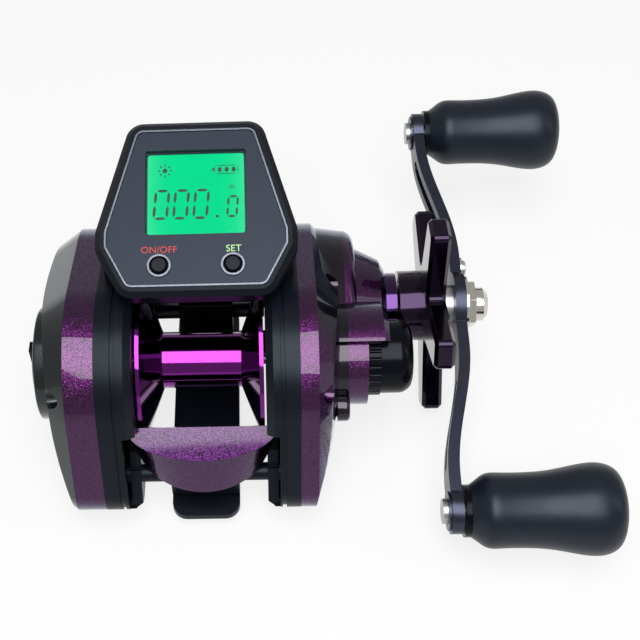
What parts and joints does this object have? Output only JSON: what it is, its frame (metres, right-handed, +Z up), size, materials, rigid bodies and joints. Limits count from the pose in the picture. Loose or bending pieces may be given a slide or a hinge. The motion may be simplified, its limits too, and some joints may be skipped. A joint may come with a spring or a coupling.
{
  "type": "baitcasting reel",
  "caption": "Low-profile baitcasting fishing reel with a line counter display, star drag and double-knob handle; spool, handle, drag, clutch bar and level wind move.",
  "frame": {"origin": "on the flat underside of the reel foot, straight below the spool's axis and midway between the spool's flanges", "axes": "+X along the spool's axis towards the handle, +Y forward towards the rod tip, +Z up away from the rod"},
  "size_m": [0.1271, 0.1213, 0.0665],
  "materials": {
    "frame_coat": "satin slate-black coat on cast metal",
    "plate_gloss": "gloss black lacquer with a purple flake band",
    "purple_flake": "glossy purple metallic flake lacquer",
    "spool_magenta": "mirror-bright magenta anodised",
    "housing_black": "fine matte moulded black",
    "panel_black": "smooth satin black",
    "grip_black": "soft matte slate-black",
    "silver": "bright plated trim",
    "steel": "fine turned steel",
    "brass": "machined brass",
    "black_plastic": "gloss black moulding",
    "magnet": "nickel-plated magnet",
    "drag_fibre": "woven carbon drag washer",
    "lcd_glass": "clear window over a green display",
    "lcd_green": "green backlit display",
    "board_green": "green circuit board",
    "battery_silver": "silver battery wrap",
    "soft_plug": "soft black rubber",
    "ceramic": "polished grey ceramic ring"
  },
  "bodies": {
    "reel_body": {"frame": "frame_coat", "reel_foot": "frame_coat", "body_screws": "steel", "left_side_plate": "plate_gloss", "brake_plate": "black_plastic", "brake_magnets": "magnet", "spool_bearings": "steel", "gear_case_bearings": "steel", "one_way_bearing": "steel", "right_side_plate": "plate_gloss", "drive_collar": "black_plastic", "worm_shield": "black_plastic", "frame_rods": "steel", "counter_cover": "housing_black", "panel_trim": "silver", "panel_face": "panel_black", "lcd_window": "lcd_glass", "lcd_module": "lcd_green", "circuit_board": "board_green", "battery": "battery_silver", "counter_base": "housing_black", "port_plug": "soft_plug", "spool_sensor": "black_plastic", "yoke_springs": "steel"},
    "handle": {"drive_shaft": "steel", "ratchet": "steel", "idler_gear": "brass", "drive_gear": "brass", "drag_stack": "drag_fibre", "drive_sleeve": "steel", "handle_arm": "purple_flake", "handle_spacer": "steel", "handle_nut": "silver", "nut_retainer": "black_plastic", "handle_screws": "steel", "knob_spindles": "steel"},
    "star_drag": {"star_drag": "purple_flake", "cup_springs": "steel"},
    "front_knob": {"front_knob": "grip_black", "front_knob_bushes": "black_plastic"},
    "rear_knob": {"rear_knob": "grip_black", "rear_knob_bushes": "black_plastic"},
    "spool": {"spool": "spool_magenta", "spool_magnets": "magnet", "spool_shaft": "steel"},
    "clutch_yoke": {"clutch_yoke": "black_plastic"},
    "pinion": {"pinion": "brass"},
    "clutch_cam": {"clutch_cam": "black_plastic"},
    "thumb_bar": {"thumb_bar": "purple_flake", "thumb_slide": "black_plastic"},
    "worm": {"worm_shaft": "steel", "worm_gear": "brass"},
    "line_guide": {"line_guide": "black_plastic", "line_guide_ring": "ceramic", "level_wind_pawl": "steel"},
    "cast_control": {"cast_control_cap": "black_plastic", "cast_shim": "black_plastic"},
    "brake_dial": {"brake_dial": "black_plastic"},
    "on_off_button": {"on_off_button": "black_plastic"},
    "set_button": {"set_button": "black_plastic"}
  },
  "joints": [
    {"name": "handle_turn", "type": "hinge", "parent": "reel_body", "child": "handle", "pos_m": [0, 0.01786, 0.01928], "axis": [1, 0, 0], "continuous": true},
    {"name": "star_drag_turn", "type": "hinge", "parent": "handle", "child": "star_drag", "pos_m": [0, 0.01786, 0.01928], "axis": [1, 0, 0], "range_deg": [0, 360]},
    {"name": "front_knob_spin", "type": "hinge", "parent": "handle", "child": "front_knob", "pos_m": [0.07, 0.06867, 0.02705], "axis": [1, 0, 0], "continuous": true},
    {"name": "rear_knob_spin", "type": "hinge", "parent": "handle", "child": "rear_knob", "pos_m": [0.07, -0.03295, 0.0115], "axis": [1, 0, 0], "continuous": true},
    {"name": "spool_spin", "type": "hinge", "parent": "reel_body", "child": "spool", "pos_m": [0, 0, 0.0233], "axis": [1, 0, 0], "continuous": true},
    {"name": "clutch_yoke_slide", "type": "slide", "parent": "reel_body", "child": "clutch_yoke", "axis": [1, 0, 0], "range_m": [0, 0.0014], "deforming": ["yoke_springs"]},
    {"name": "pinion_turn", "type": "hinge", "parent": "clutch_yoke", "child": "pinion", "pos_m": [0, 0, 0.0233], "axis": [1, 0, 0], "continuous": true},
    {"name": "clutch_cam_turn", "type": "hinge", "parent": "reel_body", "child": "clutch_cam", "pos_m": [0, 0, 0.0233], "axis": [1, 0, 0], "range_deg": [0, 17.3]},
    {"name": "thumb_bar_press", "type": "slide", "parent": "reel_body", "child": "thumb_bar", "axis": [0, -0.4619, -0.8869], "range_m": [0, 0.0045], "stiffness_N_per_m": 400, "springref_m": -0.002},
    {"name": "worm_shaft_turn", "type": "hinge", "parent": "reel_body", "child": "worm", "pos_m": [0, 0.02511, 0.01343], "axis": [1, 0, 0], "continuous": true},
    {"name": "line_guide_traverse", "type": "slide", "parent": "reel_body", "child": "line_guide", "axis": [1, 0, 0], "range_m": [-0.0066, 0.0066]},
    {"name": "cast_control_turn", "type": "hinge", "parent": "reel_body", "child": "cast_control", "pos_m": [0, 0, 0.0233], "axis": [1, 0, 0], "range_deg": [0, 540]},
    {"name": "brake_dial_turn", "type": "hinge", "parent": "reel_body", "child": "brake_dial", "pos_m": [0, 0, 0.0233], "axis": [1, 0, 0], "range_deg": [0, 270]},
    {"name": "on_off_press", "type": "slide", "parent": "reel_body", "child": "on_off_button", "axis": [0, 0.3746, -0.9272], "range_m": [0, 0.0005], "stiffness_N_per_m": 800, "springref_m": -0.0003},
    {"name": "set_press", "type": "slide", "parent": "reel_body", "child": "set_button", "axis": [0, 0.3746, -0.9272], "range_m": [0, 0.0005], "stiffness_N_per_m": 800, "springref_m": -0.0003}
  ],
  "couplings": [
    {"joint": "spool_spin", "follows": "handle_turn", "ratio": -6.3},
    {"joint": "pinion_turn", "follows": "handle_turn", "ratio": -6.3},
    {"joint": "worm_shaft_turn", "follows": "handle_turn", "ratio": -1.1765},
    {"joint": "clutch_yoke_slide", "follows": "thumb_bar_press", "ratio": 0.31111},
    {"joint": "clutch_cam_turn", "follows": "thumb_bar_press", "rad_per_m": 66.667}
  ]
}
